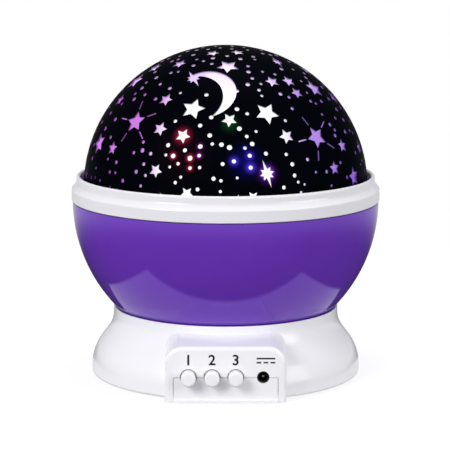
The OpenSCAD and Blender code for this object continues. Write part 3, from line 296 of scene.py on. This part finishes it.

# Dome: the painted glow in its windows, and the painted coloured halos round them
dome = {
    "centre": (0, 0, 76.1), "radius": 57.6,
    # the windows' painted glow: white in front and behind, pink to the left, lavender to violet to the right;
    # how far the white reaches from the middle, and where the side colours are full, in degrees of azimuth
    "white": "#FFFFFF", "left": "#C876E0", "right": "#AE84E4", "farRight": "#8A64C8",
    "whiteTo": 25, "sideFrom": 38,
    # painted glow colours over these by height: the heights where they start and are full, and how far they
    # cover
    "low": ("#5E2CA8", 96, 80, 0.85), "lowFrom": (32, 50),
    "shoulder": ("#E0C2FB", 115, 123, 0.85), "crown": ("#FBE6FE", 128, 131.5, 0.9),
    # the mask: its black, the size of its grain, the painted glow on its cut edges, which face outwards
    # less than edgeFacing, and how its painted halos spread and fade
    "black": "#030409", "grain": 6, "paintedEdgeGlow": 0.4, "edgeFacing": 0.6, "spread": 1.25, "fade": 2.2,
    # painted halos, coloured glow painted round some windows: azimuth, height angle, reach in mm, colour
    "paintedHalos": (
        (-18.8, 28.0, 4.1, "#E02A58"), (-21.8, 19.9, 2.0, "#E03058"), (-14.5, 19.3, 2.2, "#E8305E"),
        (-14.2, 15.5, 1.8, "#D02050"), (-19.3, 17.0, 1.4, "#901038"), (-18.5, 22.0, 13.0, "#180005"),
        (-10.6, 24.0, 1.8, "#981CA0"), (-10.8, 20.4, 1.8, "#A81CB0"),
        (3.3, 18.3, 2.6, "#5A3CFF"), (9.9, 15.8, 2.8, "#6040FF"), (9.8, 20.4, 2.3, "#5034F0"),
        (8.4, 18.0, 8.0, "#0C0668"), (8.0, 23.4, 1.6, "#2C1CB0"),
        (1.9, 33.2, 4.3, "#0A4616"), (16.4, 13.3, 4.6, "#6A18B4"), (16.4, 13.6, 3.2, "#C060FF")),
}


def onDome(azimuth, height):
    # the place of two angles on the mask, as the windows have them in the CAD
    a, h = math.radians(azimuth), math.radians(height)
    x, y, z = dome["centre"]
    r = dome["radius"]
    return tuple(v * mm for v in (
        x + r * math.sin(a) * math.cos(h), y - r * math.cos(a) * math.cos(h), z + r * math.sin(h)))


def paintedWindowGlow(m, place):
    # painted glow standing for the light behind the windows, coloured by their place on the dome
    spot = addNode(m, "ShaderNodeSeparateXYZ", {}, {"Vector": place.outputs["Object"]})
    front = addNode(m, "ShaderNodeMath", {"operation": "MULTIPLY"}, {0: spot.outputs["Y"], 1: -1.0})
    azimuth = addNode(m, "ShaderNodeMath", {"operation": "ARCTAN2"}, {
        0: spot.outputs["X"], 1: front.outputs["Value"]})
    turn = addNode(m, "ShaderNodeMapRange", {}, {
        "Value": azimuth.outputs["Value"], "From Min": -math.pi, "From Max": math.pi})
    side = addNode(m, "ShaderNodeValToRGB", {}, {"Fac": turn.outputs["Result"]})
    # from behind, past the left side to the front, and on past the right side
    edge, full = dome["whiteTo"], dome["sideFrom"]
    stops = (
        (edge - 180, "white"), (full - 180, "left"), (-full, "left"), (-edge, "white"),
        (edge, "white"), (full, "right"), (90, "farRight"), (180 - full, "right"), (180 - edge, "white"))
    setRamp(side, [((angle + 180) / 360, hexColour(dome[name])) for angle, name in stops])
    light = side.outputs["Color"]
    out = addNode(m, "ShaderNodeMath", {"operation": "ABSOLUTE"}, {0: spot.outputs["X"]})
    outer = addNode(m, "ShaderNodeMapRange", {"interpolation_type": "SMOOTHSTEP"}, {
        "Value": out.outputs["Value"],
        "From Min": dome["lowFrom"][0] * mm, "From Max": dome["lowFrom"][1] * mm})
    for zone in ("low", "shoulder", "crown"):
        code, start, full, share = dome[zone]
        cover = addNode(m, "ShaderNodeMapRange", {"interpolation_type": "SMOOTHSTEP"}, {
            "Value": spot.outputs["Z"],
            "From Min": start * mm, "From Max": full * mm, "To Max": share}).outputs["Result"]
        if zone == "low":
            cover = addNode(m, "ShaderNodeMath", {"operation": "MULTIPLY"}, {
                0: cover, 1: outer.outputs["Result"]}).outputs["Value"]
        light = addNode(m, "ShaderNodeMix", {"data_type": "RGBA"}, {
            "Factor": cover, "A": light, "B": hexColour(code)}).outputs["Result"]
    return light


def makeMask():
    # PET film, printed black: nearly without reflection, with painted glow spreading round its windows
    # as coloured halos, and painted glow in the window colours on its cut edges, which don't face outwards
    m = newMaterial("black PET film")
    place = addNode(m, "ShaderNodeTexCoord")
    paintedHalo = (0.0, 0.0, 0.0)
    for azimuth, height, reach, colour in dome["paintedHalos"]:
        away = addNode(m, "ShaderNodeVectorMath", {"operation": "DISTANCE"}, {
            0: place.outputs["Object"], 1: onDome(azimuth, height)})
        near = addNode(m, "ShaderNodeMapRange", {}, {
            "Value": away.outputs["Value"], "From Min": reach * dome["spread"] * mm, "From Max": 0.0})
        fade = addNode(m, "ShaderNodeMath", {"operation": "POWER"}, {
            0: near.outputs["Result"], 1: dome["fade"]})
        tinted = addNode(m, "ShaderNodeVectorMath", {"operation": "SCALE"}, {
            0: hexColour(colour)[:3], "Scale": fade.outputs["Value"]})
        paintedHalo = addNode(m, "ShaderNodeVectorMath", {"operation": "ADD"}, {
            0: paintedHalo, 1: tinted.outputs["Vector"]}).outputs["Vector"]
    # painted glow on the cut edges: faces that don't face outwards take a share of the window colour
    outward = addNode(m, "ShaderNodeVectorMath", {"operation": "SUBTRACT"}, {
        0: place.outputs["Object"], 1: tuple(v * mm for v in dome["centre"])})
    radial = addNode(m, "ShaderNodeVectorMath", {"operation": "NORMALIZE"}, {0: outward.outputs["Vector"]})
    facing = addNode(m, "ShaderNodeVectorMath", {"operation": "DOT_PRODUCT"}, {
        0: place.outputs["Normal"], 1: radial.outputs["Vector"]})
    flat = addNode(m, "ShaderNodeMath", {"operation": "ABSOLUTE"}, {0: facing.outputs["Value"]})
    cutEdge = addNode(m, "ShaderNodeMath", {"operation": "LESS_THAN"}, {
        0: flat.outputs["Value"], 1: dome["edgeFacing"]})
    edgeShare = addNode(m, "ShaderNodeMath", {"operation": "MULTIPLY"}, {
        0: cutEdge.outputs["Value"], 1: dome["paintedEdgeGlow"]})
    glow = addNode(m, "ShaderNodeMix", {"data_type": "RGBA"}, {
        "Factor": edgeShare.outputs["Value"], "A": paintedHalo, "B": paintedWindowGlow(m, place)})
    grain = addNode(m, "ShaderNodeTexNoise", {}, {
        "Vector": place.outputs["Object"], "Scale": 1 / (dome["grain"] * mm), "Detail": 2.0})
    sheen = addNode(m, "ShaderNodeMapRange", {}, {
        "Value": grain.outputs["Fac"], "To Min": 0.35, "To Max": 0.5})
    body = addNode(m, "ShaderNodeBsdfPrincipled", {}, {
        "Base Color": hexColour(dome["black"]), "Roughness": sheen.outputs["Result"],
        "Specular IOR Level": 0.003, "Emission Color": glow.outputs["Result"],
        "Emission Strength": 1.0})
    addNode(m, "ShaderNodeOutputMaterial", {}, {"Surface": body.outputs["BSDF"]})
    dress(["star_mask"], m)


def makeDome():
    # Clear PS, moulded: a plain gloss over painted glow, which stands for the mixed light of the diodes
    # inside
    m = newMaterial("clear PS, with painted glow from inside")
    place = addNode(m, "ShaderNodeTexCoord")
    body = addNode(m, "ShaderNodeBsdfPrincipled", {}, {
        "Base Color": hexColour("#241A30"), "Roughness": 0.12, "IOR": 1.59,
        "Emission Color": paintedWindowGlow(m, place), "Emission Strength": 1.0})
    addNode(m, "ShaderNodeOutputMaterial", {}, {"Surface": body.outputs["BSDF"]})
    dress(["clear_dome"], m)


makeMask()
makeDome()
print("dome lit")


# Steel: its colour, the size of the tool marks in mm, and how far they dull it
metal = {"colour": "#C4C6CA", "mark": 0.7, "dull": (0.22, 0.42)}


def makeMetals():
    # Steel, drawn and zinc-plated: bright, a little dull in the fine marks of the tools
    m = newMaterial("zinc-plated steel")
    place = addNode(m, "ShaderNodeTexCoord")
    marks = addNode(m, "ShaderNodeTexNoise", {}, {
        "Vector": place.outputs["Object"], "Scale": 1 / (metal["mark"] * mm), "Detail": 4.0})
    sheen = addNode(m, "ShaderNodeMapRange", {}, {
        "Value": marks.outputs["Fac"], "To Min": metal["dull"][0], "To Max": metal["dull"][1]})
    body = addNode(m, "ShaderNodeBsdfPrincipled", {}, {
        "Base Color": hexColour(metal["colour"]), "Metallic": 1.0, "Roughness": sheen.outputs["Result"]})
    addNode(m, "ShaderNodeOutputMaterial", {}, {"Surface": body.outputs["BSDF"]})
    dress(["door_screw", "cover_screws", "motor_screws", "post_screws", "holder_screws", "gear_screws",
           "motor", "motor_shaft", "retaining_clip", "contact_plates", "contact_springs", "socket_pin"], m)
    return m


# Cells: how wide the pale band at the plus end is, how soft its edge, and the three colours
cells = {"count": 4, "band": 9, "edge": 0.1, "jacket": "#43454B", "pale": "#D4D8DA", "bare": "#BFC1C4"}


def makeCells():
    # Printed foil over steel: a satin jacket, and bare metal on the faces at both ends
    for i in range(1, cells["count"] + 1):
        name = "cell_%d" % i
        lowest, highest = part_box(name)
        # every second cell lies the other way round
        plus = 1 if i % 2 == 1 else -1
        start = highest[0] if plus == 1 else lowest[0]
        m = newMaterial("foil cell jacket %d" % i)
        place = addNode(m, "ShaderNodeTexCoord")
        spot = addNode(m, "ShaderNodeSeparateXYZ", {}, {"Vector": place.outputs["Object"]})
        band = addNode(m, "ShaderNodeMapRange", {}, {
            "Value": spot.outputs["X"],
            "From Min": start - plus * (cells["band"] + cells["edge"]) * mm,
            "From Max": start - plus * (cells["band"] - cells["edge"]) * mm})
        jacket = addNode(m, "ShaderNodeMix", {"data_type": "RGBA"}, {
            "Factor": band.outputs["Result"],
            "A": hexColour(cells["jacket"]), "B": hexColour(cells["pale"])})
        way = addNode(m, "ShaderNodeSeparateXYZ", {}, {"Vector": place.outputs["Normal"]})
        ends = addNode(m, "ShaderNodeMath", {"operation": "ABSOLUTE"}, {0: way.outputs["X"]})
        bare = addNode(m, "ShaderNodeMath", {"operation": "GREATER_THAN"}, {0: ends.outputs["Value"], 1: 0.7})
        colour = addNode(m, "ShaderNodeMix", {"data_type": "RGBA"}, {
            "Factor": bare.outputs["Value"],
            "A": jacket.outputs["Result"], "B": hexColour(cells["bare"])})
        body = addNode(m, "ShaderNodeBsdfPrincipled", {}, {
            "Base Color": colour.outputs["Result"], "Metallic": 0.8, "Roughness": 0.3})
        addNode(m, "ShaderNodeOutputMaterial", {}, {"Surface": body.outputs["BSDF"]})
        dress([name], m)


# Boards: the size of the track pattern in mm, the mask's two greens, and the green over copper
board = {"track": 10, "mask": ("#0E5A34", "#106038"), "overCopper": "#2C8A55"}


def makeBoards():
    # Glass epoxy under green solder mask: a low gloss, with copper tracks showing through as paler lines
    m = newMaterial("green solder mask")
    place = addNode(m, "ShaderNodeTexCoord")
    turned = addNode(m, "ShaderNodeMapping", {}, {
        "Vector": place.outputs["Object"], "Rotation": (math.radians(90), 0, 0)})
    tracks = addNode(m, "ShaderNodeTexBrick", {"offset": 0.5}, {
        "Vector": turned.outputs["Vector"], "Scale": 1 / (board["track"] * mm), "Mortar Size": 0.02,
        "Brick Width": 0.8, "Row Height": 0.25, "Color1": hexColour(board["mask"][0]),
        "Color2": hexColour(board["mask"][1]), "Mortar": hexColour(board["overCopper"])})
    body = addNode(m, "ShaderNodeBsdfPrincipled", {}, {
        "Base Color": tracks.outputs["Color"], "Roughness": 0.3, "IOR": 1.55})
    addNode(m, "ShaderNodeOutputMaterial", {}, {"Surface": body.outputs["BSDF"]})
    dress(["circuit_board"], m)
    white = mouldedPlastic("white solder mask", "#E9EAEC", 0.3, 0.01)
    dress(["light_board"], white)


def makeSmallPlastics():
    # Black nylon of the switches and socket: matte, with a spark-eroded grain
    dark = mouldedPlastic("black nylon, fine spark texture", "#15161A", 0.5, 0.05, wave=0.6)
    dress(["switch_1", "switch_2", "switch_3", "power_socket", "control_chip", "capacitor"], dark)
    # Natural acetal of the gears: cream, slightly waxy
    acetal = mouldedPlastic("natural acetal", "#E6DEC8", 0.38, 0.03)
    dress(["drive_gear", "pinion", "switch_stem_1", "switch_stem_2", "switch_stem_3"], acetal)
    # Silicone rubber of the feet: dull, finely rough
    rubber = mouldedPlastic("grey silicone rubber", "#A9ABAF", 0.7, 0.08, wave=0.8)
    dress(["foot_%d" % i for i in range(1, 5)], rubber)
    # PVC of the wires: an even, soft gloss
    red = mouldedPlastic("red PVC insulation", "#B3201E", 0.45, 0.02, wave=2)
    dress(["motor_wire", "battery_wire"], red)
    grey = mouldedPlastic("grey PVC insulation", "#5B5D62", 0.45, 0.02, wave=2)
    dress(["light_wire"], grey)


# Diodes: their light grows from the foot's height to the tip's
diodes = {
    "foot": 68, "tip": 75, "footLight": 0.4, "tipLight": 2.0,
    "colours": (("red", "#FF2A3A"), ("green", "#28F060"), ("blue", "#3040FF"), ("white", "#FFF6E4")),
}


def makeLights():
    # Cast epoxy, tinted: glossy, and lit from within
    for name, colour in diodes["colours"]:
        m = newMaterial("lit %s epoxy" % name)
        place = addNode(m, "ShaderNodeTexCoord")
        spot = addNode(m, "ShaderNodeSeparateXYZ", {}, {"Vector": place.outputs["Object"]})
        light = addNode(m, "ShaderNodeMapRange", {}, {
            "Value": spot.outputs["Z"], "From Min": diodes["foot"] * mm, "From Max": diodes["tip"] * mm,
            "To Min": diodes["footLight"], "To Max": diodes["tipLight"]})
        body = addNode(m, "ShaderNodeBsdfPrincipled", {}, {
            "Base Color": hexColour(colour), "Roughness": 0.1, "IOR": 1.54,
            "Emission Color": hexColour(colour), "Emission Strength": light.outputs["Result"]})
        addNode(m, "ShaderNodeOutputMaterial", {}, {"Surface": body.outputs["BSDF"]})
        dress(["light_%s" % name], m)


steel = makeMetals()
makeCells()
makeBoards()
makeSmallPlastics()
makeLights()
print("inner parts dressed")


def settle(piece, name, material, body):
    # puts a finished piece's place into its mesh, and hangs it on its body
    takeUp(piece)
    bpy.ops.object.transform_apply(location=True, rotation=True, scale=True)
    piece.name = name
    piece.data.materials.clear()
    piece.data.materials.append(material)
    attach(piece, body)


# Screws in the underside: cross-recessed heads and threaded shanks. head and shank are radii, edge is
# the rounding of a pan head and is 0 for a countersunk one, and arm is the length of the recess's arms
screws = {
    "cover": {"head": 2.4, "height": 1.5, "edge": 0.5, "shank": 1.3, "turns": 6, "pitch": 1.0,
              "arm": 3.0, "armWidth": 0.62, "armDepth": 0.9, "out": 43.25, "angles": (-28, 208, 37, 143)},
    "door": {"head": 1.8, "height": 0.95, "edge": 0.0, "shank": 1.0, "turns": 3, "pitch": 0.8,
             "arm": 2.3, "armWidth": 0.5, "armDepth": 0.75},
    # all: the thread's root and the point as shares of the shank, the point's length, and the arms' taper
    "root": 0.8, "point": 0.25, "tip": 1.2, "taper": 0.45,
}


def extrudeTo(height, scale):
    # pulls the selected face up by height and scales it about the screw's axis
    bpy.ops.mesh.extrude_region_move(TRANSFORM_OT_translate={"value": (0, 0, height * mm)})
    bpy.ops.transform.resize(value=(scale, scale, 1), center_override=(0, 0, 0))


def pickTop(piece):
    # goes into edit mode with only the faces that look up selected
    bpy.ops.object.mode_set(mode="EDIT")
    bpy.ops.mesh.select_mode(type="FACE")
    bpy.ops.mesh.select_all(action="DESELECT")
    bpy.ops.object.mode_set(mode="OBJECT")
    for face in piece.data.polygons:
        face.select = face.normal.z > 0.9
    bpy.ops.object.mode_set(mode="EDIT")


def roundFoot(screw, size):
    # bevels the edges that lie at the foot of the head
    bpy.ops.object.mode_set(mode="EDIT")
    bpy.ops.mesh.select_mode(type="EDGE")
    bpy.ops.mesh.select_all(action="DESELECT")
    bpy.ops.object.mode_set(mode="OBJECT")
    points = screw.data.vertices
    for edge in screw.data.edges:
        edge.select = all(points[i].co.z < 0.01 * mm for i in edge.vertices)
    bpy.ops.object.mode_set(mode="EDIT")
    bpy.ops.mesh.bevel(offset=size * mm, segments=4)
    bpy.ops.object.mode_set(mode="OBJECT")


def cutArm(screw, kind, angle):
    # cuts one arm of the recess into the head, narrower inside than at the face
    deselectAll()
    bpy.ops.mesh.primitive_cube_add(size=1, location=(0, 0, 0))
    arm = bpy.context.object
    arm.scale = (kind["arm"] * mm, kind["armWidth"] * mm, 2 * kind["armDepth"] * mm)
    arm.rotation_euler.z = math.radians(angle)
    bpy.ops.object.transform_apply(location=False, rotation=True, scale=True)
    pickTop(arm)
    bpy.ops.transform.resize(value=(screws["taper"], screws["taper"], 1), center_override=(0, 0, 0))
    bpy.ops.object.mode_set(mode="OBJECT")
    cut = screw.modifiers.new("recess", "BOOLEAN")
    cut.operation = "DIFFERENCE"
    cut.solver = "EXACT"
    cut.object = arm
    takeUp(screw)
    bpy.ops.object.modifier_apply(modifier="recess")
    bpy.data.objects.remove(arm)


def makeScrew(kind, top):
    # one screw at the origin, head down, with its point at the height top in mm
    deselectAll()
    bpy.ops.mesh.primitive_cylinder_add(
        vertices=40, radius=kind["head"] * mm, depth=kind["height"] * mm,
        location=(0, 0, kind["height"] / 2 * mm))
    screw = bpy.context.object
    bpy.ops.object.transform_apply(location=True, rotation=False, scale=False)
    if kind["edge"]:
        roundFoot(screw, kind["edge"])
    pickTop(screw)
    if kind["edge"]:
        bpy.ops.mesh.inset(thickness=(kind["head"] - kind["shank"]) * mm)
    else:
        inward = kind["shank"] / kind["head"]
        bpy.ops.transform.resize(value=(inward, inward, 1), center_override=(0, 0, 0))
    plain = top - kind["height"] - kind["turns"] * kind["pitch"] - screws["tip"]
    extrudeTo(plain, 1)
    for turn in range(kind["turns"]):
        extrudeTo(kind["pitch"] / 2, screws["root"])
        extrudeTo(kind["pitch"] / 2, 1 / screws["root"])
    extrudeTo(screws["tip"], screws["point"])
    bpy.ops.object.mode_set(mode="OBJECT")
    for angle in (0, 90):
        cutArm(screw, kind, angle)
    takeUp(screw)
    bpy.ops.object.shade_smooth_by_angle(angle=math.radians(32))
    return screw


def makeScrews():
    # the four of the cover are one piece, as their CAD node is
    kind = screws["cover"]
    lowest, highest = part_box("cover_screws")
    copies = [makeScrew(kind, (highest[2] - lowest[2]) / mm)]
    while len(copies) < len(kind["angles"]):
        bpy.ops.object.duplicate()
        copies.append(bpy.context.object)
    for copy, angle in zip(copies, kind["angles"]):
        a = math.radians(angle)
        out = kind["out"] * mm
        copy.location = (out * math.cos(a), out * math.sin(a), lowest[2])
        copy.rotation_euler.z = a * 3
        copy.select_set(True)
    bpy.ops.object.join()
    joined = bpy.context.object
    settle(joined, "crosshead_cover_screws", steel, "base")
    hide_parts("cover_screws")

    lowest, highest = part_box("door_screw")
    single = makeScrew(screws["door"], (highest[2] - lowest[2]) / mm)
    single.location = ((lowest[0] + highest[0]) / 2, (lowest[1] + highest[1]) / 2, lowest[2])
    settle(single, "crosshead_door_screw", steel, "door")
    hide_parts("door_screw")


makeScrews()
print("screws made")

# Marks printed on the panel: a number above each button and a direct-current sign above the socket.
# panel is the y of its face, film the ink's thickness, and bold what the strokes gain on each side
marks = {
    "panel": -56.5, "film": 0.04, "height": 17.0, "size": 5.7, "bold": 0.11, "round": 0.012,
    "ink": ("#060608", "#0E0E12"), "grain": 0.5,
    "numbers": (("1", -14.4), ("2", -5.25), ("3", 3.9)),
    "sign": {"x": 15.5, "width": 7.2, "bar": 0.6, "gap": 1.6, "dash": 1.8},
}


def inkMaterial():
    # Pad-printed ink: near black, matte, a little uneven in cover
    m = newMaterial("pad-printed ink")
    place = addNode(m, "ShaderNodeTexCoord")
    cover = addNode(m, "ShaderNodeTexNoise", {}, {
        "Vector": place.outputs["Object"], "Scale": 1 / (marks["grain"] * mm), "Detail": 2.0})
    shade = addNode(m, "ShaderNodeMix", {"data_type": "RGBA"}, {
        "Factor": cover.outputs["Fac"], "A": hexColour(marks["ink"][0]), "B": hexColour(marks["ink"][1])})
    body = addNode(m, "ShaderNodeBsdfPrincipled", {}, {
        "Base Color": shade.outputs["Result"], "Roughness": 0.5})
    addNode(m, "ShaderNodeOutputMaterial", {}, {"Surface": body.outputs["BSDF"]})
    return m


def makeNumbers(ink, face):
    # each is set as text, thickened a little and made a mesh
    for text, x in marks["numbers"]:
        deselectAll()
        bpy.ops.object.text_add(
            location=(x * mm, face, marks["height"] * mm), rotation=(math.radians(90), 0, 0))
        number = bpy.context.object
        number.data.body = text
        number.data.size = marks["size"] * mm
        number.data.offset = marks["bold"] * mm
        number.data.align_x = "CENTER"
        number.data.align_y = "CENTER"
        number.data.extrude = marks["film"] / 2 * mm
        bpy.ops.object.convert(target="MESH")
        settle(bpy.context.object, "number_" + text, ink, "base")


def makeCurrentSign(ink, face):
    # one long bar above three dashes, each with its edges rounded
    sign = marks["sign"]
    bars = [(0, sign["gap"] / 2, sign["width"])]
    step = (sign["width"] - sign["dash"]) / 2
    bars += [(k * step, -sign["gap"] / 2, sign["dash"]) for k in (-1, 0, 1)]
    deselectAll()
    pieces = []
    for x, z, width in bars:
        bpy.ops.mesh.primitive_cube_add(size=1, location=(
            (sign["x"] + x) * mm, face, (marks["height"] + z) * mm))
        bar = bpy.context.object
        bar.scale = (width * mm, marks["film"] * mm, sign["bar"] * mm)
        bpy.ops.object.transform_apply(location=False, rotation=False, scale=True)
        bpy.ops.object.mode_set(mode="EDIT")
        bpy.ops.mesh.select_all(action="SELECT")
        bpy.ops.mesh.bevel(offset=marks["round"] * mm, segments=2)
        bpy.ops.object.mode_set(mode="OBJECT")
        pieces.append(bar)
    deselectAll()
    for bar in pieces:
        bar.select_set(True)
    bpy.context.view_layer.objects.active = pieces[0]
    bpy.ops.object.join()
    settle(bpy.context.object, "current_sign", ink, "base")


ink = inkMaterial()
printedFace = (marks["panel"] - marks["film"] / 2) * mm
makeNumbers(ink, printedFace)
makeCurrentSign(ink, printedFace)
print("marks printed")
